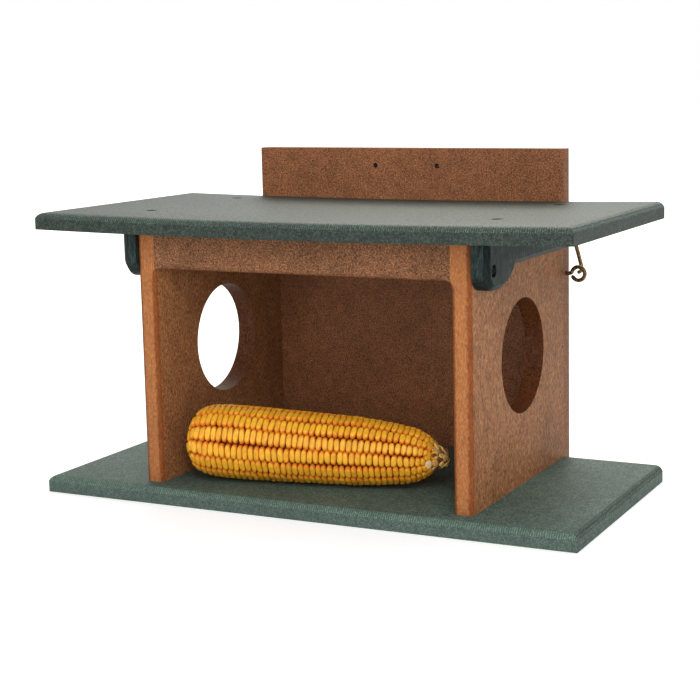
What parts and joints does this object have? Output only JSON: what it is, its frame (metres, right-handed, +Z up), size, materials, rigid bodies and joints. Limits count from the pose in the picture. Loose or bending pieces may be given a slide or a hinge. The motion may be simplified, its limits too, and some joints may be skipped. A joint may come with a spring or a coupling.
{
  "type": "squirrel corn cob feeder",
  "caption": "Board-built squirrel feeder with a wide base and roof, a round hole in each side, a hinged roof held by a hook and eye, and an ear of corn inside.",
  "frame": {"origin": "on the ground, in the middle of the outline's width and depth", "axes": "+X to the feeder's right as seen from the front, +Y from the front towards the back board, +Z up"},
  "size_m": [0.432, 0.2249, 0.2569],
  "materials": {
    "green_lumber": "speckled green recycled plastic lumber, sawn faces and routed edges",
    "brown_lumber": "cedar-brown recycled plastic lumber with fine grain",
    "screw_steel": "plain steel wood screws",
    "roof_screw_steel": "flat heads painted to match the boards",
    "pivot_screw_steel": "dark coated steel",
    "brass_wire": "antique brass plated wire",
    "cob_wood": "dry woody cob",
    "cob_husk": "dry withered tip",
    "corn": "hard golden kernels with a soft shine"
  },
  "bodies": {
    "house": {"base_board": "green_lumber", "back_board": "brown_lumber", "left_side_panel": "brown_lumber", "right_side_panel": "brown_lumber", "front_header": "brown_lumber", "base_screws": "screw_steel", "back_screws": "screw_steel", "header_screws": "screw_steel", "catch_eye": "brass_wire", "left_pivot_screw": "pivot_screw_steel", "right_pivot_screw": "pivot_screw_steel"},
    "roof": {"roof_board": "green_lumber", "left_roof_rail": "green_lumber", "right_roof_rail": "green_lumber", "roof_screws": "roof_screw_steel", "roof_eye": "brass_wire"},
    "hook": {"latch_hook": "brass_wire"},
    "corn_ear": {"cob_core": "cob_wood", "cob_tip": "cob_husk", "kernel_rows": "corn"}
  },
  "joints": [
    {"name": "roof_hinge", "type": "hinge", "parent": "house", "child": "roof", "pos_m": [0, -0.07985, 0.1831], "axis": [1, 0, 0], "range_deg": [0, 105]},
    {"name": "hook_swing", "type": "hinge", "parent": "roof", "child": "hook", "pos_m": [0.1445, 0.09375, 0.1902], "axis": [1, 0, 0], "range_deg": [-8, 90]},
    {"name": "ear_removal", "type": "slide", "parent": "house", "child": "corn_ear", "axis": [0, -1, 0], "range_m": [0, 0.15]}
  ]
}
